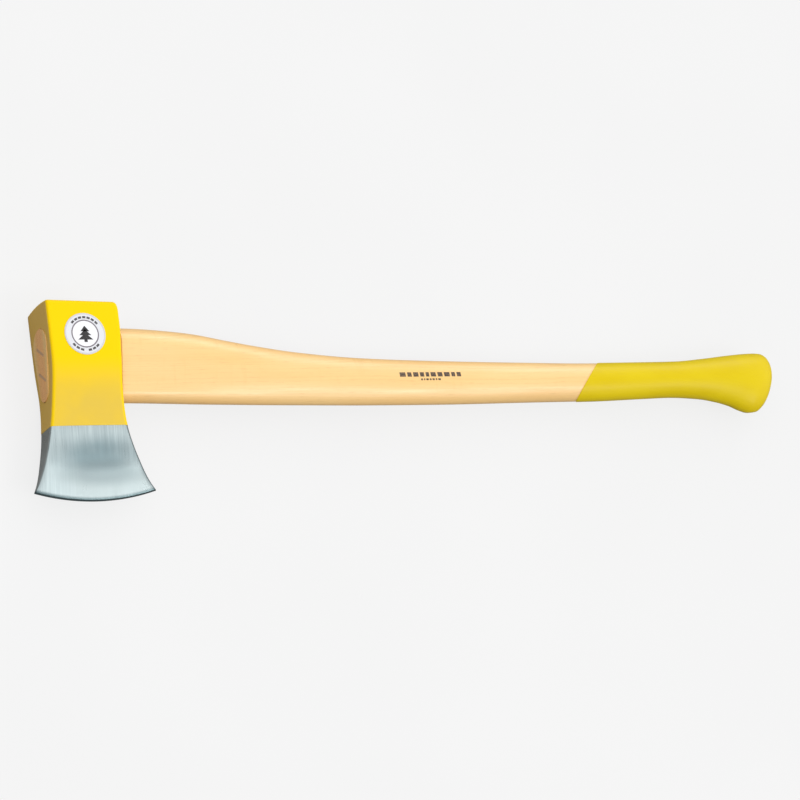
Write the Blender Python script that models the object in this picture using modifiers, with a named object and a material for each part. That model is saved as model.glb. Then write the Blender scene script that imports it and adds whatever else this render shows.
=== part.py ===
"""Splitting axe: a forged wedge-shaped head on a curved ash handle, held by one wooden and two steel wedges.

+X runs along the handle, away from the head. +Y runs from the cutting edge to the poll. +Z runs through
the thickness of the head. The origin is the centre of the poll face, on its paint.
The sizes below are in millimetres, and the meshes are in metres.
"""

import math

import bmesh
import bpy
import numpy as np
from mathutils import Matrix, Vector

MM = 0.001
GAP = 0.3
COAT = 0.3

# Head. Depths are measured from the poll face towards the cutting edge, so a depth d lies at y = -d.
# The toe is the end of the edge away from the handle, and the heel is the end on the handle's side.
POLL_DEPTH = GAP + COAT
HEAD_HALF_WIDTH = 35.0
TIP_DEPTH = 177.3
TOE_REACH = 58.4
TOE_FLARE_START = 45.0
TOE_FLARE_POWER = 2.6
HEEL_REACH = 60.9
HEEL_FLARE_START = 109.0
HEEL_FLARE_POWER = 1.7
# How far the heel side draws in, by depth.
HEEL_WAIST = [(0, 0.0), (22, 0.0), (52, 1.9), (76, 2.6), (98, 1.9), (116, 0.7), (135, 0.0), (190, 0.0)]
EDGE_SAGITTA = 8.8
ARC_START = 121.0
ARC_POWER = 1.5
POLL_FILLET = 1.6
SIDE_FILLET = 2.4
PAINT_LINE = 117.8
# Half thickness of the cheek, by distance from the cutting edge, which a steep bevel backs.
EDGE_BEVEL = 1.5
CHEEK_PROFILE = [
    (0, 0.25),
    (EDGE_BEVEL, 2.6),
    (6, 3.75),
    (10, 4.75),
    (20, 7.15),
    (31, 9.6),
    (40, 10.9),
    (52, 12.3),
    (66, 14.3),
    (84, 16.7),
    (98, 19.1),
    (114, 22.7),
    (130, 24.9),
    (150, 25.3),
    (190, 25.3),
]
BODY_DEPTHS = [20, 42, 60, 73, 83, 93, 103, 111]
BIT_DEPTHS = [125, 132, 140, 147, 154, 160, 165, 169, 172.5, TIP_DEPTH - EDGE_BEVEL, TIP_DEPTH]
CHEEK_COLUMNS = 10
CORNER_STEPS = 3

# Eye: an egg shape round two circles, wider at the outer end where the wedges spread the tongue.
EYE_POLL_DEPTH = 37.9
EYE_POLL_RADIUS = 16.3
EYE_BIT_DEPTH = 79.6
EYE_BIT_RADIUS = 10.0
EYE_TAPER = 0.8
TONGUE_END_TOP = -36.0
TONGUE_END_BOTTOM = -37.8
EGG_STEPS = (7, 4, 5)

# Handle stations past the eye: top x, top y, bottom x, bottom y, thickness.
# The top is the side towards the poll, and the bottom is the side towards the cutting edge.
HANDLE_STATIONS = [
    (38.6, -20.4, 35.9, -92.0, 37.0),
    (60, -21.1, 60, -92.5, 36.5),
    (86, -22.9, 86, -93.3, 35.5),
    (116, -26.1, 116, -94.3, 34.0),
    (146, -31.7, 146, -95.0, 32.0),
    (177, -37.3, 177, -95.7, 30.5),
    (225, -44.4, 225, -96.5, 29.0),
    (290, -50.3, 290, -97.4, 28.0),
    (370, -53.5, 370, -97.7, 27.5),
    (470, -55.9, 470, -96.7, 27.5),
    (545, -57.1, 545, -96.0, 28.0),
    (610, -56.7, 608, -93.9, 28.5),
    (648, -56.2, 640, -93.0, 29.0),
    (684, -53.4, 674, -94.9, 30.5),
    (715, -50.1, 693, -98.1, 32.0),
    (737, -48.3, 710, -102.9, 33.0),
    (747.5, -47.9, 720.5, -107.7, 32.5),
    (755, -48.4, 730.5, -110.5, 31.0),
    (760.3, -50.8, 739.5, -109.7, 27.5),
    (763.7, -55.0, 747.6, -104.5, 22.0),
    (765.8, -60.5, 754.6, -96.2, 15.0),
    (766.6, -67.5, 760.4, -86.5, 7.0),
]
EYE_OUTER = -46.0
EYE_INNER = 45.0
TONGUE_SHOULDER = (37.2, 34.5)
OVAL_START = 38.0
OVAL_END = 230.0
SPAN_STEPS = 2

# Grip coat: the handle was dipped up to a slanting plane.
DIP_TOP = (557.0, -56.6)
DIP_BOTTOM = (526.5, -96.5)
DIP_LEAN = math.radians(18)
GRIP_FIRST_STATION_X = 470.0
DIP_CUTTER_SIZE = 200.0

# Wedges in the tongue.
KERF_END = 26.0
WEDGE_END = 16.0
WEDGE_TOP_THICKNESS = 10.4
WEDGE_TIP_THICKNESS = 2.0
STEEL_WEDGE_LENGTH = 19.0
STEEL_WEDGE_DEPTH = 22.0
STEEL_WEDGE_THICKNESS = 2.8
STEEL_WEDGE_TIP = 0.8
STEEL_WEDGE_TURN = math.radians(35)
SLOT_MOUTH = 3.0
STEEL_WEDGE_DEPTHS = {"steel_wedge_poll": 43.0, "steel_wedge_bit": 67.0}

# Label: a round sticker on the upper cheek.
LABEL_RADIUS = 20.0
LABEL_CENTRE = (-0.8, -33.1)
LABEL_THICKNESS = 0.3
LABEL_SIDES = 64

MERGE = 0.00001


def clear_scene():
    for old in list(bpy.data.objects):
        bpy.data.objects.remove(old, do_unlink=True)


def new_collection(name):
    collection = bpy.data.collections.new(name)
    bpy.context.scene.collection.children.link(collection)
    return collection


def material(name, colour, roughness, metallic):
    mat = bpy.data.materials.new(name)
    mat.use_nodes = True
    shader = mat.node_tree.nodes["Principled BSDF"]
    shader.inputs["Base Color"].default_value = (*colour, 1.0)
    shader.inputs["Roughness"].default_value = roughness
    shader.inputs["Metallic"].default_value = metallic
    return mat


def object_from(name, mesh, collection):
    obj = bpy.data.objects.new(name, mesh)
    collection.objects.link(obj)
    return obj


def mesh_from(name, points, faces):
    """A mesh in metres from points in millimetres, with its faces turned outwards."""
    mesh = bpy.data.meshes.new(name)
    mesh.from_pydata([Vector(p) * MM for p in points], [], faces)
    shape = bmesh.new()
    shape.from_mesh(mesh)
    bmesh.ops.recalc_face_normals(shape, faces=shape.faces)
    shape.to_mesh(mesh)
    shape.free()
    return mesh


def finish_piece(obj, mat, sharp_angle):
    obj.data.materials.append(mat)
    obj.data.shade_smooth()
    obj.data.set_sharp_from_angle(angle=math.radians(sharp_angle))


def mirror_in_z(obj):
    mirror = obj.modifiers.new("mirror", "MIRROR")
    mirror.use_axis = (False, False, True)
    mirror.merge_threshold = MERGE


def boolean(obj, cutter, operation):
    cut = obj.modifiers.new(operation.lower(), "BOOLEAN")
    cut.operation = operation
    cut.object = cutter
    cut.solver = "EXACT"


def take_new_primitive(name, collection):
    """The primitive that was just added, renamed and moved from the scene's collection to its own."""
    obj = bpy.context.object
    obj.name = name
    for owner in list(obj.users_collection):
        owner.objects.unlink(obj)
    collection.objects.link(obj)
    return obj


def as_cutter(obj):
    obj.hide_render = True
    obj.display_type = "WIRE"
    return obj


def smooth_rows(knots, values, samples):
    """Values on a smooth curve through the knots that never swings past them."""
    knots = np.array(knots, float)
    values = np.array(values, float)
    steps = np.diff(knots)[:, None]
    slopes = np.diff(values, axis=0) / steps
    tangents = np.vstack([slopes[:1], slopes])
    rising = slopes[:-1] * slopes[1:] > 0
    before = np.where(rising, slopes[:-1], 1.0)
    after = np.where(rising, slopes[1:], 1.0)
    share = (steps[:-1] + 2 * steps[1:]) / (3 * (steps[:-1] + steps[1:]))
    tangents[1:-1] = np.where(rising, 1 / (share / before + (1 - share) / after), 0.0)
    rows = []
    for sample in samples:
        span = min(max(int(np.searchsorted(knots, sample)) - 1, 0), len(knots) - 2)
        width = knots[span + 1] - knots[span]
        t = (sample - knots[span]) / width
        rows.append(
            (2 * t**3 - 3 * t**2 + 1) * values[span]
            + (t**3 - 2 * t**2 + t) * width * tangents[span]
            + (3 * t**2 - 2 * t**3) * values[span + 1]
            + (t**3 - t**2) * width * tangents[span + 1]
        )
    return np.array(rows)


# Head ------------------------------------------------------------------------------------------------


def edge_arc(x):
    """How far the cutting edge runs past the depth of its tips, at a place across the edge."""
    half_chord = (HEEL_REACH + TOE_REACH) / 2
    radius = (half_chord**2 + EDGE_SAGITTA**2) / (2 * EDGE_SAGITTA)
    reach = min(abs(x - (HEEL_REACH - TOE_REACH) / 2), half_chord)
    return math.sqrt(radius**2 - reach**2) - (radius - EDGE_SAGITTA)


def arc_share(depth):
    """How much of the edge's arc a row at this depth follows: none up to ARC_START, all at the edge."""
    return max(0.0, (depth - ARC_START) / (TIP_DEPTH - ARC_START)) ** ARC_POWER


def head_side(depth, start, power, reach):
    """How far one end face of the head stands from the middle at a depth."""
    flare = max(0.0, (depth - start) / (TIP_DEPTH - start)) ** power
    return HEAD_HALF_WIDTH + (reach - HEAD_HALF_WIDTH) * flare


def heel_waist(depth):
    knots = [knot for knot, _ in HEEL_WAIST]
    return smooth_rows(knots, [[inset] for _, inset in HEEL_WAIST], [depth])[0][0]


def cheek_height(x, depth):
    from_edge = TIP_DEPTH - depth + (1 - arc_share(depth)) * edge_arc(x)
    knots = [distance for distance, _ in CHEEK_PROFILE]
    heights = [[height] for _, height in CHEEK_PROFILE]
    return smooth_rows(knots, heights, [max(from_edge, 0.0)])[0][0]


def head_corner(side, depth, offset, inset, sign):
    """The corner between an end face and the cheek: points from the middle plane up to the cheek."""
    height = cheek_height(sign * side, depth)
    fillet = min(SIDE_FILLET, 0.5 * height) + offset - inset
    flat = side + offset - inset - fillet
    points = [(sign * (flat + fillet), 0.0)]
    for step in range(CORNER_STEPS + 1):
        turn = step / CORNER_STEPS * math.pi / 2
        drop = fillet * (1 - math.sin(turn))
        points.append((sign * (flat + fillet * math.cos(turn)), height + offset - inset - drop))
    return points


def head_row(depth, offset, inset):
    """The upper half of one cross-section of the head, from the heel side over the cheek to the toe side."""
    heel_side = head_side(depth, HEEL_FLARE_START, HEEL_FLARE_POWER, HEEL_REACH) - heel_waist(depth)
    toe_side = head_side(depth, TOE_FLARE_START, TOE_FLARE_POWER, TOE_REACH)
    heel = head_corner(heel_side, depth, offset, inset, 1)
    toe = head_corner(toe_side, depth, offset, inset, -1)
    cheek = []
    for column in range(1, CHEEK_COLUMNS):
        x = heel[-1][0] + (toe[-1][0] - heel[-1][0]) * column / CHEEK_COLUMNS
        cheek.append((x, cheek_height(x, depth) + offset - inset))
    share = arc_share(depth)
    return [(x, -depth - share * edge_arc(x), z) for x, z in heel + cheek + toe[::-1]]


def head_half(name, collection, offset, depths):
    """The half of the head above z = 0, grown by an offset, from the poll down to the last depth."""
    fillet = POLL_FILLET + offset
    rows = []
    for step in range(CORNER_STEPS + 1):
        turn = step / CORNER_STEPS * math.pi / 2
        depth = POLL_DEPTH - offset + fillet * (1 - math.cos(turn))
        rows.append(head_row(depth, offset, fillet * (1 - math.sin(turn))))
    rows += [head_row(depth, offset, 0.0) for depth in depths]
    width = len(rows[0])
    points = [point for row in rows for point in row]
    faces = [list(range(width))]
    for i in range(len(rows) - 1):
        for j in range(width - 1):
            a = i * width + j
            faces.append([a, a + 1, a + width + 1, a + width])
    last = len(points) - width
    floor = [(x, y, 0.0) for x, y, _ in rows[-1][1:-1]]
    floor_start = len(points)
    points += floor
    line = [last] + list(range(floor_start, floor_start + len(floor))) + [last + width - 1]
    for j in range(width - 1):
        corners = [last + j, last + j + 1, line[j + 1], line[j]]
        faces.append(list(dict.fromkeys(corners)))
    half = object_from(name, mesh_from(name, points, faces), collection)
    mirror_in_z(half)
    return half


# Handle ----------------------------------------------------------------------------------------------


def egg_outline():
    """One side of the eye's egg, as (share of the depth, share of the half thickness) pairs."""
    spacing = EYE_BIT_DEPTH - EYE_POLL_DEPTH
    change = math.acos(-(EYE_POLL_RADIUS - EYE_BIT_RADIUS) / spacing)
    poll_steps, flat_steps, bit_steps = EGG_STEPS
    points = []
    for step in range(poll_steps + 1):
        turn = change * step / poll_steps
        points.append((EYE_POLL_DEPTH - EYE_POLL_RADIUS * math.cos(turn), EYE_POLL_RADIUS * math.sin(turn)))
    bit_points = []
    for step in range(bit_steps + 1):
        turn = change + (math.pi - change) * step / bit_steps
        bit_points.append((EYE_BIT_DEPTH - EYE_BIT_RADIUS * math.cos(turn), EYE_BIT_RADIUS * math.sin(turn)))
    start = np.array(points[-1])
    end = np.array(bit_points[0])
    for step in range(1, flat_steps):
        points.append(tuple(start + (end - start) * step / flat_steps))
    points += bit_points
    top = EYE_POLL_DEPTH - EYE_POLL_RADIUS
    depth = EYE_BIT_DEPTH + EYE_BIT_RADIUS - top
    return [((y - top) / depth, z / EYE_POLL_RADIUS) for y, z in points]


def eye_station(top_x, bottom_x):
    """Top, bottom and thickness of the eye, in a section from one place on its top to one on its bottom."""
    spread = EYE_TAPER * max(0.0, top_x / TONGUE_END_TOP)
    top = -(EYE_POLL_DEPTH - EYE_POLL_RADIUS) + spread
    bottom = -(EYE_BIT_DEPTH + EYE_BIT_RADIUS) - spread
    return (top_x, top, bottom_x, bottom, 2 * (EYE_POLL_RADIUS + spread))


def tongue_stations(inner_top, inner_bottom):
    """The tongue's stations, from its end, sawn flush with the head's slanting side, to a place inside."""
    end = eye_station(TONGUE_END_TOP, TONGUE_END_BOTTOM)
    return np.array([end, eye_station(0.0, 0.0), eye_station(inner_top, inner_bottom)])


def oval_share(x):
    """0 where the handle's section is the eye's egg, 1 where it is an oval."""
    t = min(max((x - OVAL_START) / (OVAL_END - OVAL_START), 0.0), 1.0)
    return t * t * (3 - 2 * t)


def handle_rows(first_x):
    """Stations along the bare handle from a place on its top edge, with more between on smooth curves."""
    stations = np.array([s for s in HANDLE_STATIONS if s[0] >= first_x])
    knots = (stations[:, 0] + stations[:, 2]) / 2
    samples = []
    for start, end in zip(knots[:-1], knots[1:]):
        samples += [start + (end - start) * step / SPAN_STEPS for step in range(SPAN_STEPS)]
    samples.append(knots[-1])
    return smooth_rows(knots, stations, samples)


def grow(stations, offset):
    """The stations moved outwards along the normals of the handle's outline."""
    grown = stations.copy()
    for side, turn in ((0, 1.0), (2, -1.0)):
        along = np.gradient(stations[:, side : side + 2], axis=0)
        along /= np.linalg.norm(along, axis=1)[:, None]
        grown[:, side] -= turn * offset * along[:, 1]
        grown[:, side + 1] += turn * offset * along[:, 0]
    grown[:, 4] += 2 * offset
    return grown


def handle_half(name, collection, stations):
    """The half of a handle-shaped loft above z = 0."""
    egg = egg_outline()
    width = len(egg)
    points = []
    for top_x, top_y, bottom_x, bottom_y, thickness in stations:
        share = oval_share(top_x)
        for down, egg_height in egg:
            oval_height = math.sqrt(max(0.0, 1 - (2 * down - 1) ** 2))
            height = egg_height + (oval_height - egg_height) * share
            x = top_x + (bottom_x - top_x) * down
            y = top_y + (bottom_y - top_y) * down
            points.append((x, y, height * thickness / 2 if 0 < down < 1 else 0.0))
    faces = [list(range(width)), list(range(len(points) - width, len(points)))]
    for i in range(len(stations) - 1):
        for j in range(width - 1):
            a = i * width + j
            faces.append([a, a + 1, a + width + 1, a + width])
    half = object_from(name, mesh_from(name, points, faces), collection)
    mirror_in_z(half)
    return half


def eye_cutter(collection):
    stations = np.array([eye_station(x, x) for x in (EYE_OUTER, TONGUE_END_TOP, 0.0, EYE_INNER)])
    return as_cutter(handle_half("eye_cutter", collection, grow(stations, GAP)))


# Wedges ----------------------------------------------------------------------------------------------


def prism(name, collection, outline):
    """A closed prism right across the head: an outline of (x, z) points drawn out along y."""
    shape = bmesh.new()
    corners = [shape.verts.new(Vector((x, 0, z)) * MM) for x, z in outline]
    face = shape.faces.new(corners)
    drawn = bmesh.ops.extrude_face_region(shape, geom=[face])
    moved = [item for item in drawn["geom"] if isinstance(item, bmesh.types.BMVert)]
    bmesh.ops.translate(shape, vec=Vector((0, -PAINT_LINE, 0)) * MM, verts=moved)
    bmesh.ops.recalc_face_normals(shape, faces=shape.faces)
    mesh = bpy.data.meshes.new(name)
    shape.to_mesh(mesh)
    shape.free()
    return object_from(name, mesh, collection)


def wedge_outline(end_x, extra):
    """The wooden wedge's side view, tapering along +X from outside the head, grown by an extra all round."""
    slope = (WEDGE_TOP_THICKNESS - WEDGE_TIP_THICKNESS) / (WEDGE_END - TONGUE_END_TOP)
    start = (WEDGE_TOP_THICKNESS + slope * (TONGUE_END_TOP - EYE_OUTER)) / 2 + extra
    tip = WEDGE_TIP_THICKNESS / 2 + extra
    upper = [(EYE_OUTER, start), (WEDGE_END, tip)]
    if end_x > WEDGE_END:
        upper.append((end_x, tip))
    return upper + [(x, -z) for x, z in reversed(upper)]


def kerf_cutter(collection):
    return as_cutter(prism("kerf_cutter", collection, wedge_outline(KERF_END, GAP)))


def wooden_wedge(collection, cutters):
    wedge = prism("wooden_wedge", collection, wedge_outline(WEDGE_END, 0.0))
    tongue = handle_half("tongue_shape", cutters, tongue_stations(KERF_END, KERF_END))
    boolean(wedge, as_cutter(tongue), "INTERSECT")
    return wedge


def steel_wedge(name, collection, depth, extra):
    """A small steel wedge across the wooden one, or, with an extra all round, the cutter of its slot."""
    bpy.ops.mesh.primitive_cube_add(size=1)
    wedge = take_new_primitive(name, collection)
    eye_top = EYE_POLL_DEPTH - EYE_POLL_RADIUS
    eye_bottom = EYE_BIT_DEPTH + EYE_BIT_RADIUS
    down = (depth - eye_top) / (eye_bottom - eye_top)
    flush = TONGUE_END_TOP + (TONGUE_END_BOTTOM - TONGUE_END_TOP) * down
    mouth = flush - SLOT_MOUTH if extra else flush
    for vertex in wedge.data.vertices:
        at_tip = vertex.co.x > 0
        thickness = (STEEL_WEDGE_TIP if at_tip else STEEL_WEDGE_THICKNESS) + 2 * extra
        x = flush + STEEL_WEDGE_DEPTH + extra if at_tip else mouth
        y = math.copysign(thickness / 2, vertex.co.y)
        z = math.copysign(STEEL_WEDGE_LENGTH / 2 + extra, vertex.co.z)
        vertex.co = Vector((x, y, z)) * MM
    wedge.data.transform(Matrix.Rotation(STEEL_WEDGE_TURN, 4, "X"))
    wedge.location.y = -depth * MM
    return wedge


# Coats and label -------------------------------------------------------------------------------------


def head_coat(collection, cutters, eye):
    """The painted skin of the head, from the poll to the paint line, open round the eye."""
    coat = head_half("head_paint", collection, GAP + COAT, BODY_DEPTHS + [PAINT_LINE])
    core = head_half("head_paint_core", cutters, GAP, BODY_DEPTHS + [ARC_START])
    boolean(coat, as_cutter(core), "DIFFERENCE")
    boolean(coat, eye, "DIFFERENCE")
    return coat


def grip_coat(collection, cutters):
    """The dipped skin of the handle's end, up to the slanting dip line."""
    stations = handle_rows(GRIP_FIRST_STATION_X)
    coat = handle_half("grip_paint", collection, grow(stations, GAP + COAT))
    core = handle_half("grip_paint_core", cutters, grow(stations, GAP))
    boolean(coat, as_cutter(core), "DIFFERENCE")
    run = DIP_TOP[0] - DIP_BOTTOM[0]
    rise = DIP_TOP[1] - DIP_BOTTOM[1]
    bpy.ops.mesh.primitive_cube_add(size=DIP_CUTTER_SIZE * MM)
    box = take_new_primitive("dip_line_cutter", cutters)
    box.data.transform(Matrix.Translation(Vector((-DIP_CUTTER_SIZE / 2, 0, 0)) * MM))
    box.data.transform(Matrix.Rotation(-DIP_LEAN, 4, "Y"))
    box.rotation_euler.z = -math.atan2(run, rise)
    middle = Vector((DIP_TOP[0] + DIP_BOTTOM[0], DIP_TOP[1] + DIP_BOTTOM[1], 0)) / 2
    box.location = middle * MM
    boolean(coat, as_cutter(box), "DIFFERENCE")
    return coat


def head_label(collection):
    painted_cheek = CHEEK_PROFILE[-1][1] + GAP + COAT
    height = painted_cheek + GAP + LABEL_THICKNESS / 2
    bpy.ops.mesh.primitive_cylinder_add(
        vertices=LABEL_SIDES,
        radius=LABEL_RADIUS * MM,
        depth=LABEL_THICKNESS * MM,
        location=Vector((*LABEL_CENTRE, height)) * MM,
    )
    return take_new_primitive("head_label", collection)


def main():
    clear_scene()
    axe = new_collection("splitting_axe")
    cutters = new_collection("cutters")

    steel = material("ground_steel", (0.66, 0.71, 0.73), 0.35, 1.0)
    paint = material("yellow_paint", (0.98, 0.76, 0.01), 0.4, 0.0)
    grip = material("yellow_dip", (0.82, 0.66, 0.02), 0.3, 0.0)
    ash = material("ash", (0.93, 0.72, 0.42), 0.55, 0.0)
    beech = material("wedge_wood", (0.55, 0.27, 0.13), 0.65, 0.0)
    dull_steel = material("dull_steel", (0.45, 0.45, 0.46), 0.5, 1.0)
    sticker = material("sticker", (0.86, 0.86, 0.88), 0.35, 0.0)

    eye = eye_cutter(cutters)
    kerf = kerf_cutter(cutters)

    head = head_half("axe_head", axe, 0.0, BODY_DEPTHS + [PAINT_LINE] + BIT_DEPTHS)
    boolean(head, eye, "DIFFERENCE")
    finish_piece(head, steel, 30)

    finish_piece(head_coat(axe, cutters, eye), paint, 30)
    finish_piece(head_label(axe), sticker, 30)

    stations = np.vstack([tongue_stations(*TONGUE_SHOULDER), handle_rows(0.0)])
    handle = handle_half("handle", axe, stations)
    boolean(handle, kerf, "DIFFERENCE")
    finish_piece(handle, ash, 40)
    finish_piece(grip_coat(axe, cutters), grip, 40)

    wedge = wooden_wedge(axe, cutters)
    for name, depth in STEEL_WEDGE_DEPTHS.items():
        slot = as_cutter(steel_wedge(name + "_slot", cutters, depth, GAP))
        boolean(handle, slot, "DIFFERENCE")
        boolean(wedge, slot, "DIFFERENCE")
        finish_piece(steel_wedge(name, axe, depth, 0.0), dull_steel, 30)
    finish_piece(wedge, beech, 30)


main()
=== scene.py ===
"""Looks of the splitting axe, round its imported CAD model.

The axe lies on its side: +X along the handle towards the knob, +Y out of the poll, +Z up through the cheek.
The sizes below are in millimetres unless a name says otherwise, and the meshes are in metres.
"""

import math

import bmesh
import bpy
import numpy as np
from mathutils import Matrix, Vector


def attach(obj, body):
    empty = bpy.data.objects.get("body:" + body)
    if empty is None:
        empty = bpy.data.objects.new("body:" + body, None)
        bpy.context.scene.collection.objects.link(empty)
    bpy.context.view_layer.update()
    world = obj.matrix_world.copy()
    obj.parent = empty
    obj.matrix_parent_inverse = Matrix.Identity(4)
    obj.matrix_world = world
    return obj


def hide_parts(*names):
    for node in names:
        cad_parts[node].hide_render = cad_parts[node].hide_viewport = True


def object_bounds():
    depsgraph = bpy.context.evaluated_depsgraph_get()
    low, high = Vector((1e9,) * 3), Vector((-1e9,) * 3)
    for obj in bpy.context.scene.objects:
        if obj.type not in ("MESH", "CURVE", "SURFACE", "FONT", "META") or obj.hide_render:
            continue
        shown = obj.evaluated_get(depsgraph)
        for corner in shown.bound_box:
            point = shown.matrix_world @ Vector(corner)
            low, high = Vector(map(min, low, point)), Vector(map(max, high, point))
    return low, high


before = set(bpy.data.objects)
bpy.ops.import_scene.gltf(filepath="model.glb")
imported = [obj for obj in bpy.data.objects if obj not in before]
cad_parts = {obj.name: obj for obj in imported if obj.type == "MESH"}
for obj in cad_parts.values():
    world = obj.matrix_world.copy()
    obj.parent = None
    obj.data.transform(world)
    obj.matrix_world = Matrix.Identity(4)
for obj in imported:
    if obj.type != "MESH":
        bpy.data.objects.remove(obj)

MM = 0.001
BODY = "root"

# Head. A depth is measured from the poll face towards the cutting edge. The toe is the end of the edge
# away from the handle, and the heel is the end on the handle's side.
HEAD_HALF_WIDTH = 35.0
TIP_DEPTH = 177.3
# Each end: its side, how far it reaches at the cutting edge, and where its flare starts and how it grows.
TOE = {"sign": -1, "reach": 58.4, "start": 45.0, "power": 2.6}
HEEL = {"sign": 1, "reach": 60.9, "start": 109.0, "power": 1.7}
# The cutting edge is an arc this deep. Rows bend to it more and more from ARC_START to ARC_FULL.
EDGE_SAGITTA = 8.8
ARC_START = 121.0
ARC_FULL = TIP_DEPTH - 5.0
ARC_POWER = 1.5
POLL_FILLET = 1.9
SIDE_FILLET = 2.4
LEAST_FILLET = 0.02
PAINT_LINE = 117.8
# How far each surface stands out from the base shape. It fades away over the last SKIN_FADE to the edge.
STEEL_SKIN = 0.3
PAINT_SKIN = 0.6
PAINT_INNER_SKIN = 0.33
SKIN_FADE = 40.0
# Half thickness of the cheek by distance from the cutting edge. The first EDGE_BEVEL of it is a steep bevel.
EDGE_BEVEL = 1.2
CHEEK_PROFILE = [
    (0, 0.12),
    (EDGE_BEVEL, 2.45),
    (1.6, 2.6),
    (2.6, 2.88),
    (6, 3.75),
    (10, 4.75),
    (20, 7.15),
    (31, 9.6),
    (40, 10.9),
    (52, 12.3),
    (66, 14.3),
    (84, 16.7),
    (98, 19.1),
    (114, 22.7),
    (130, 24.9),
    (150, 25.3),
    (190, 25.3),
]
POLL_HALF_THICKNESS = CHEEK_PROFILE[-1][1]
# How far the heel side draws in, by depth.
HEEL_WAIST = [(0, 0.0), (22, 0.0), (52, 1.9), (76, 2.6), (98, 1.9), (116, 0.7), (135, 0.0), (190, 0.0)]
# The heel side rounds in by HEEL_CORNER at the poll face, over CORNER_DEPTH.
HEEL_CORNER = 2.3
CORNER_DEPTH = 8.0
# The poll is domed by POLL_DOME through its thickness, and the dome dies away at DOME_END. It leans about
# LEAN_PIVOT by the slope POLL_LEAN, less and less down to LEAN_END.
POLL_DOME = 2.2
DOME_END = 22.0
POLL_LEAN = 0.03
LEAN_PIVOT = -22.0
LEAN_END = 50.0
# The bit is crowned across, by CROWN at its sides, from CROWN_START down.
CROWN = 0.9
CROWN_START = 100.0
# Meshing of the head.
CHEEK_COLUMNS = 44
CORNER_STEPS = 6
SIDE_STEPS = 5
DOME_STEPS = 8
DOME_INSET = 24.5
BODY_START = 5.0
BODY_ROWS = 34
BIT_ROWS = 30
BIT_END = TIP_DEPTH - 6.0
# The last rows, by distance from the cutting edge.
BEVEL_DISTANCES = [4.6, 3.4, 2.6, 2.0, 1.6, EDGE_BEVEL, 0.8, 0.4, 0.0]

# Faces that meet at more than these angles, in degrees, are shaded with a sharp edge between them.
STEEL_SHARP = 24
PLAIN_SHARP = 30
ROUND_SHARP = 40

# Eye, tongue and handle, as in the CAD model.
EYE_POLL_DEPTH = 37.9
EYE_POLL_RADIUS = 16.3
EYE_BIT_DEPTH = 79.6
EYE_BIT_RADIUS = 10.0
EYE_TAPER = 0.8
EYE_GAP = 0.25
TONGUE_END_TOP = -36.0
TONGUE_END_BOTTOM = -37.8
TONGUE_SHOULDER = (37.2, 34.5)
EYE_OUTER = -46.0
EYE_INNER = 45.0
EGG_STEPS = (16, 10, 12)
OVAL_START = 38.0
OVAL_END = 230.0
SPAN_STEPS = 6
# Top x, top y, bottom x, bottom y, thickness. The top is the side towards the poll.
HANDLE_STATIONS = [
    (38.6, -20.4, 35.9, -92.0, 37.0),
    (60, -21.1, 60, -92.5, 36.5),
    (86, -22.9, 86, -93.3, 35.5),
    (116, -26.1, 116, -94.3, 34.0),
    (146, -31.7, 146, -95.0, 32.0),
    (177, -37.3, 177, -95.7, 30.5),
    (225, -44.4, 225, -96.5, 29.0),
    (290, -50.3, 290, -97.4, 28.0),
    (370, -53.5, 370, -97.7, 27.5),
    (470, -55.9, 470, -96.7, 27.5),
    (545, -57.1, 545, -96.0, 28.0),
    (610, -56.7, 608, -93.9, 28.5),
    (648, -56.2, 640, -93.0, 29.0),
    (684, -53.4, 674, -94.9, 30.5),
    (715, -50.1, 693, -98.1, 32.0),
    (737, -48.3, 710, -102.9, 33.0),
    (747.5, -47.9, 720.5, -107.7, 32.5),
    (755, -48.4, 730.5, -110.5, 31.0),
    (760.3, -50.8, 739.5, -109.7, 27.5),
    (763.7, -55.0, 747.6, -104.5, 22.0),
    (765.8, -60.5, 754.6, -96.2, 15.0),
    (766.6, -67.5, 760.4, -86.5, 7.0),
]

# Grip coat, dipped up to a slanting plane.
DIP_TOP = (558.5, -57.0)
DIP_BOTTOM = (526.5, -96.5)
DIP_LEAN = math.radians(18)
DIP_CUTTER_HALF = 100.0
GRIP_FIRST_X = 470.0
GRIP_SKIN = 0.5
GRIP_INNER_SKIN = 0.05

# Wedges in the tongue.
KERF_END = 26.0
WEDGE_END = 16.0
WEDGE_TOP_THICKNESS = 10.4
WEDGE_TIP_THICKNESS = 2.0
KERF_GAP = 0.12
STEEL_WEDGE_LENGTH = 19.0
STEEL_WEDGE_REACH = 22.0
STEEL_WEDGE_THICKNESS = 2.8
STEEL_WEDGE_TIP = 0.8
STEEL_WEDGE_TURN = math.radians(35)
STEEL_WEDGE_DEPTHS = {"steel_wedge_poll": 43.0, "steel_wedge_bit": 67.0}
SLOT_GAP = 0.1
SLOT_MOUTH = 3.0
# The faces of a block whose corners are listed by x, then y, then z.
BLOCK_FACES = [[0, 1, 3, 2], [4, 6, 7, 5], [0, 4, 5, 1], [2, 3, 7, 6], [0, 2, 6, 4], [1, 5, 7, 3]]

# Label and prints.
LABEL_CENTRE = (-0.8, -33.1)
LABEL_RADIUS = 20.0
LABEL_LIFT = 0.45
LABEL_SIDES = 96
LABEL_ROUNDING = 0.12
LABEL_SINK = 0.05
LABEL_INNER_RADII = (16.0, 12.0, 8.0, 4.0)
# The paper's white middle ends at the first radius, and its grey rim starts at the second.
LABEL_TONE_RADII = (12.4, 18.4)
LABEL_TONE_BLUR = 0.2
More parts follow.
